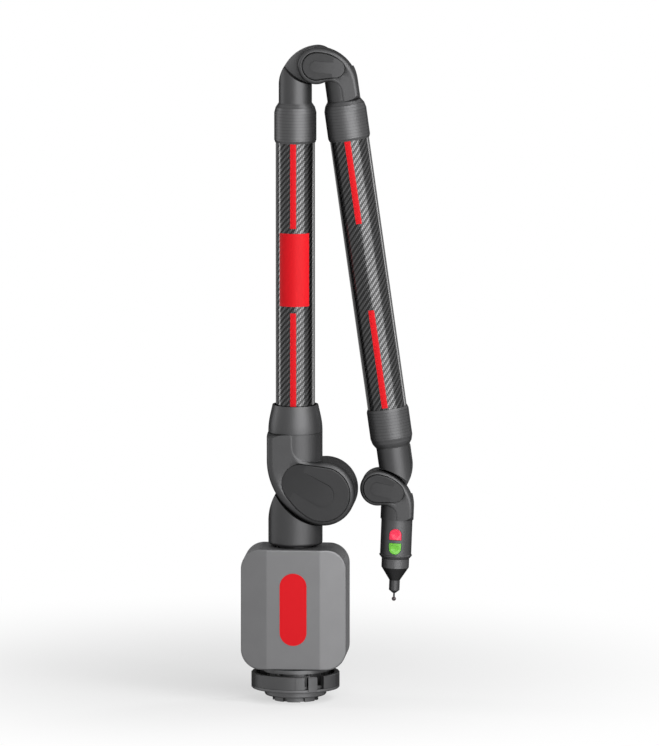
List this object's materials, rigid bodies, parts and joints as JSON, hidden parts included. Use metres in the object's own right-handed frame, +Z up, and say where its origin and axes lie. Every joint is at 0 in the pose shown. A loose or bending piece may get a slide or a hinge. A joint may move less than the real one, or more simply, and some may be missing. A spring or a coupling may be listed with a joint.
{
  "type": "portable measuring arm",
  "caption": "Portable articulated measuring arm, parked upright and folded at the elbow, with rolling tubes, offset hinges, a button handle and a ball stylus.",
  "frame": {"origin": "centre of the foot's bottom face, on the swivel axis of the base", "axes": "+Z up the base's swivel axis, -Y the front with the bare badge plate, +X towards the folded forearm"},
  "size_m": [0.2292, 0.118, 0.8792],
  "materials": {
    "castings": "dark grey satin coating on cast aluminium",
    "caps": "dark grey satin moulded plastic",
    "sleeves": "turned aluminium, anodised dark grey, with fine turning lines",
    "tubes": "clear-coated woven carbon fibre with a red and grey stripe",
    "housing": "mid grey satin paint on cast aluminium",
    "badge": "red bare badge plate",
    "foot_metal": "dark anodised aluminium",
    "ring": "dark anodised aluminium locking ring",
    "steel": "ground and polished bearing steel",
    "stylus_metal": "turned stainless steel",
    "ball": "polished ball",
    "nose_metal": "turned aluminium, anodised dark grey",
    "barrel_metal": "machined aluminium",
    "handle_shell": "dark grey satin grip",
    "encoder_glass": "coated glass encoder disc",
    "boards": "green circuit board",
    "battery": "dark shrink-wrapped battery pack",
    "soft_black": "matt black rubber",
    "power_black": "satin black plastic",
    "red": "glossy red plastic",
    "green": "glossy green plastic"
  },
  "bodies": {
    "base": {"foot_ring": "foot_metal", "base_plate": "foot_metal", "hub": "foot_metal", "hub_screws": "steel", "housing_front": "housing", "housing_rear": "housing", "housing_screws": "steel", "base_badge": "badge", "bearing_housing": "barrel_metal", "base_bearings": "steel", "base_read_head": "boards", "control_board": "boards", "battery_pack": "battery", "rear_panel": "housing", "port_cover": "soft_black"},
    "power_button": {"power_button": "power_black"},
    "lock_ring": {"lock_ring": "ring"},
    "neck": {"neck_casting": "castings", "neck_cap": "caps", "neck_spindle": "steel", "base_encoder_disc": "encoder_glass", "shoulder_pin": "steel", "shoulder_encoder_disc": "encoder_glass"},
    "shoulder": {"shoulder_casting": "castings", "shoulder_cap": "caps", "shoulder_bearings": "steel", "upper_roll_bearings": "steel"},
    "upper_arm": {"upper_collar": "sleeves", "upper_tube": "tubes", "upper_sleeve": "sleeves", "upper_roll_shaft": "steel", "elbow_back_casting": "castings", "elbow_back_cap": "caps", "elbow_pin": "steel", "elbow_encoder_disc": "encoder_glass"},
    "elbow": {"elbow_front_casting": "castings", "elbow_front_cap": "caps", "elbow_bearings": "steel", "forearm_roll_bearings": "steel"},
    "forearm": {"forearm_top_sleeve": "sleeves", "forearm_tube": "tubes", "forearm_end_sleeve": "sleeves", "forearm_roll_shaft": "steel", "wrist_back_casting": "castings", "wrist_back_cap": "caps", "wrist_pin": "steel", "wrist_encoder_disc": "encoder_glass"},
    "handle": {"handle_casting": "castings", "handle_cap": "caps", "wrist_bearings": "steel", "handle_body": "handle_shell", "handle_board": "boards", "probe_ring": "nose_metal", "probe_nose": "nose_metal", "probe_holder": "stylus_metal", "stylus_stem": "stylus_metal", "stylus_ball": "ball"},
    "red_button": {"red_button": "red"},
    "green_button": {"green_button": "green"}
  },
  "joints": [
    {"name": "base_swivel", "type": "hinge", "parent": "base", "child": "neck", "pos_m": [0, 0, 0.21], "axis": [0, 0, 1], "continuous": true},
    {"name": "shoulder_hinge", "type": "hinge", "parent": "neck", "child": "shoulder", "pos_m": [0.039, 0, 0.2819], "axis": [0, 1, 0], "range_deg": [0, 16]},
    {"name": "upper_arm_roll", "type": "hinge", "parent": "shoulder", "child": "upper_arm", "pos_m": [0, 0, 0.3614], "axis": [0, 0, 1], "continuous": true},
    {"name": "elbow_hinge", "type": "hinge", "parent": "upper_arm", "child": "elbow", "pos_m": [0.029, 0, 0.8547], "axis": [0, -1, 0], "range_deg": [0, 172]},
    {"name": "forearm_roll", "type": "hinge", "parent": "elbow", "child": "forearm", "pos_m": [0.05772, 0, 0.85874], "axis": [-0.1392, 0, 0.9903], "continuous": true},
    {"name": "wrist_hinge", "type": "hinge", "parent": "forearm", "child": "handle", "pos_m": [0.11118, 0, 0.28863], "axis": [0, 1, 0], "range_deg": [-10, 15]},
    {"name": "red_button_press", "type": "slide", "parent": "handle", "child": "red_button", "axis": [0, 1, 0], "range_m": [0, 0.001], "stiffness_N_per_m": 900},
    {"name": "green_button_press", "type": "slide", "parent": "handle", "child": "green_button", "axis": [0, 1, 0], "range_m": [0, 0.001], "stiffness_N_per_m": 900},
    {"name": "power_button_press", "type": "slide", "parent": "base", "child": "power_button", "axis": [0, -1, 0], "range_m": [0, 0.001], "stiffness_N_per_m": 900},
    {"name": "lock_ring_turn", "type": "hinge", "parent": "base", "child": "lock_ring", "pos_m": [0, 0, 0.0206], "axis": [0, 0, 1], "range_deg": [0, 60]}
  ]
}
